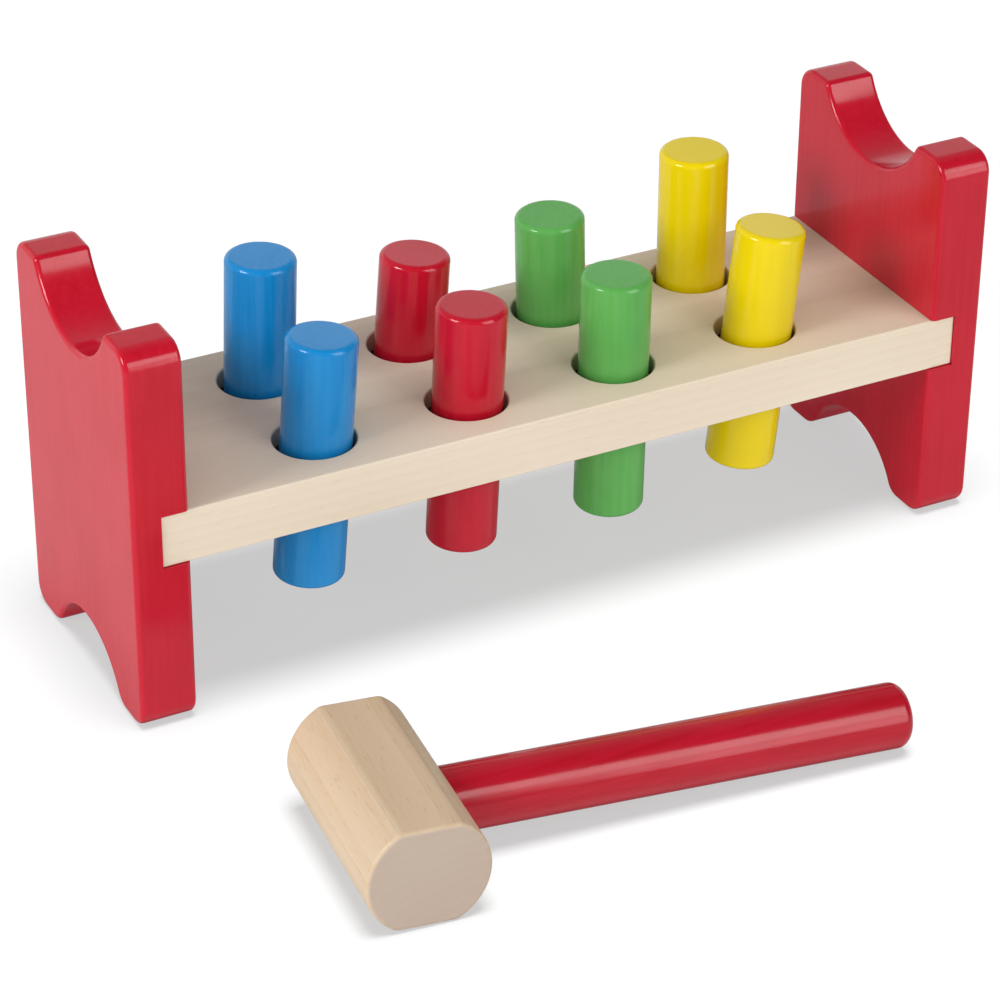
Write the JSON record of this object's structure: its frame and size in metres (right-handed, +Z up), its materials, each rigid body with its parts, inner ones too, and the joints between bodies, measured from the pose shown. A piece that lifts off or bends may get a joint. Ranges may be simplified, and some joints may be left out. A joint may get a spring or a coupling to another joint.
{
  "type": "peg pounding bench",
  "caption": "Wooden pounding bench: a bare board between red notched end panels carries loose painted pegs, gripped by rubber rings, to be hammered through with a wooden mallet.",
  "frame": {"origin": "on the table, under the middle of the bench's four feet", "axes": "+X along the bench from the blue pegs to the yellow pegs, -Y towards the mallet in front, +Z up"},
  "size_m": [0.25, 0.1798, 0.109],
  "materials": {
    "red_enamel": "glossy enamel paint on wood",
    "blue_enamel": "glossy enamel paint on wood",
    "green_enamel": "glossy enamel paint on wood",
    "yellow_enamel": "glossy enamel paint on wood",
    "bare_wood": "sanded pale hardwood",
    "dowel_wood": "raw beech",
    "grip_rubber": "matt black rubber"
  },
  "bodies": {
    "bench": {"left_end_panel": "red_enamel", "right_end_panel": "red_enamel", "peg_board": "bare_wood", "left_front_dowel": "dowel_wood", "left_rear_dowel": "dowel_wood", "right_front_dowel": "dowel_wood", "right_rear_dowel": "dowel_wood", "front_blue_grip_ring": "grip_rubber", "front_red_grip_ring": "grip_rubber", "front_green_grip_ring": "grip_rubber", "front_yellow_grip_ring": "grip_rubber", "rear_blue_grip_ring": "grip_rubber", "rear_red_grip_ring": "grip_rubber", "rear_green_grip_ring": "grip_rubber", "rear_yellow_grip_ring": "grip_rubber"},
    "front_blue_peg": {"front_blue_peg": "blue_enamel"},
    "front_red_peg": {"front_red_peg": "red_enamel"},
    "front_green_peg": {"front_green_peg": "green_enamel"},
    "front_yellow_peg": {"front_yellow_peg": "yellow_enamel"},
    "rear_blue_peg": {"rear_blue_peg": "blue_enamel"},
    "rear_red_peg": {"rear_red_peg": "red_enamel"},
    "rear_green_peg": {"rear_green_peg": "green_enamel"},
    "rear_yellow_peg": {"rear_yellow_peg": "yellow_enamel"},
    "mallet": {"mallet_head": "bare_wood", "mallet_handle": "red_enamel"}
  },
  "joints": [
    {"name": "front_blue_peg_slide", "type": "slide", "parent": "bench", "child": "front_blue_peg", "axis": [0.0767, 0, 0.9971], "range_m": [-0.0207, 0.0167]},
    {"name": "front_red_peg_slide", "type": "slide", "parent": "bench", "child": "front_red_peg", "axis": [0.0454, 0, 0.999], "range_m": [-0.0195, 0.0183]},
    {"name": "front_green_peg_slide", "type": "slide", "parent": "bench", "child": "front_green_peg", "axis": [0.014, 0, 0.9999], "range_m": [-0.0185, 0.0197]},
    {"name": "front_yellow_peg_slide", "type": "slide", "parent": "bench", "child": "front_yellow_peg", "axis": [0.1011, 0, 0.9949], "range_m": [-0.0217, 0.0157]},
    {"name": "rear_blue_peg_slide", "type": "slide", "parent": "bench", "child": "rear_blue_peg", "axis": [0.0366, 0, 0.9993], "range_m": [-0.0277, 0.0101]},
    {"name": "rear_red_peg_slide", "type": "slide", "parent": "bench", "child": "rear_red_peg", "axis": [0.0715, 0, 0.9974], "range_m": [-0.0181, 0.0195]},
    {"name": "rear_green_peg_slide", "type": "slide", "parent": "bench", "child": "rear_green_peg", "axis": [-0.0279, 0, 0.9996], "range_m": [-0.0206, 0.0174]},
    {"name": "rear_yellow_peg_slide", "type": "slide", "parent": "bench", "child": "rear_yellow_peg", "axis": [-0.0052, 0, 1], "range_m": [-0.0303, 0.0081]},
    {"name": "mallet_lift", "type": "slide", "parent": "bench", "child": "mallet", "axis": [0, 0, 1], "range_m": [0, 0.15]}
  ]
}
